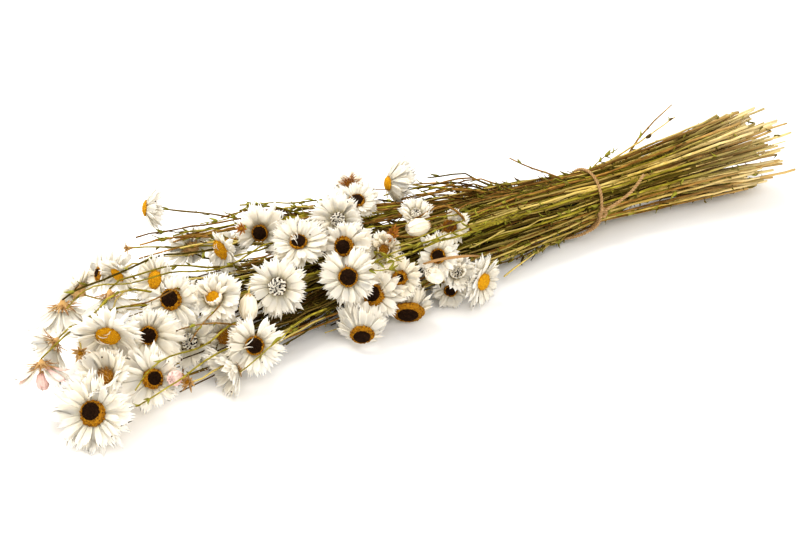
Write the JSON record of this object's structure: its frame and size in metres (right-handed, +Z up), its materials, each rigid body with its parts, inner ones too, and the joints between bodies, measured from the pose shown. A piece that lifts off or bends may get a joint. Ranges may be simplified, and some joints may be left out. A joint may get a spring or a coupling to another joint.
{
  "type": "bunch of daisies",
  "caption": "Dried bunch of white paper daisies with dark brown and yellow discs, long cut stems tied with brown twine, laid down on a surface.",
  "frame": {"origin": "on the surface that the bunch lies on, under the middle of its bounding box", "axes": "+X along the bunch from the flower heads to the cut ends of the stems, +Z up"},
  "size_m": [0.5795, 0.1709, 0.0681],
  "materials": {
    "petals": "matte",
    "dark_disc": "matte",
    "yellow_disc": "matte",
    "stems": "matte",
    "twine": "matte"
  },
  "bodies": {
    "root": {"daisy_01_08": "petals", "daisy_02": "petals", "daisy_03": "petals", "daisy_04": "petals", "daisy_05": "petals", "daisy_06_07": "petals", "daisy_09": "petals", "daisy_10": "petals", "daisy_11": "petals", "daisy_13": "petals", "daisy_14_15": "petals", "daisy_18": "petals", "daisy_19": "petals", "daisy_20": "petals", "daisy_22": "petals", "daisy_23": "petals", "daisy_24_25": "petals", "daisy_26_27": "petals", "daisy_28_29": "petals", "daisy_30": "petals", "daisy_31": "petals", "daisy_32": "petals", "daisy_33": "petals", "daisy_34": "petals", "daisy_35_39": "petals", "daisy_36": "petals", "daisy_37": "petals", "daisy_38": "petals", "daisy_40_41": "petals", "daisy_42": "petals", "daisy_43": "petals", "daisy_44_45": "petals", "daisy_46": "petals", "daisy_47": "petals", "daisy_49": "petals", "daisy_51_52": "petals", "daisy_53_54": "petals", "daisy_55_56_57": "petals", "disc_01": "dark_disc", "disc_02": "yellow_disc", "disc_03": "dark_disc", "disc_04": "dark_disc", "disc_05": "yellow_disc", "disc_06": "dark_disc", "disc_19": "dark_disc", "disc_22": "yellow_disc", "disc_23": "dark_disc", "disc_26": "dark_disc", "disc_31": "dark_disc", "disc_33": "dark_disc", "disc_34": "dark_disc", "disc_35": "dark_disc", "disc_36": "dark_disc", "disc_37": "yellow_disc", "disc_38": "dark_disc", "disc_42": "dark_disc", "disc_43": "dark_disc", "disc_47": "yellow_disc", "stems_and_leaves": "stems", "twine_tie": "twine"}
  },
  "joints": []
}
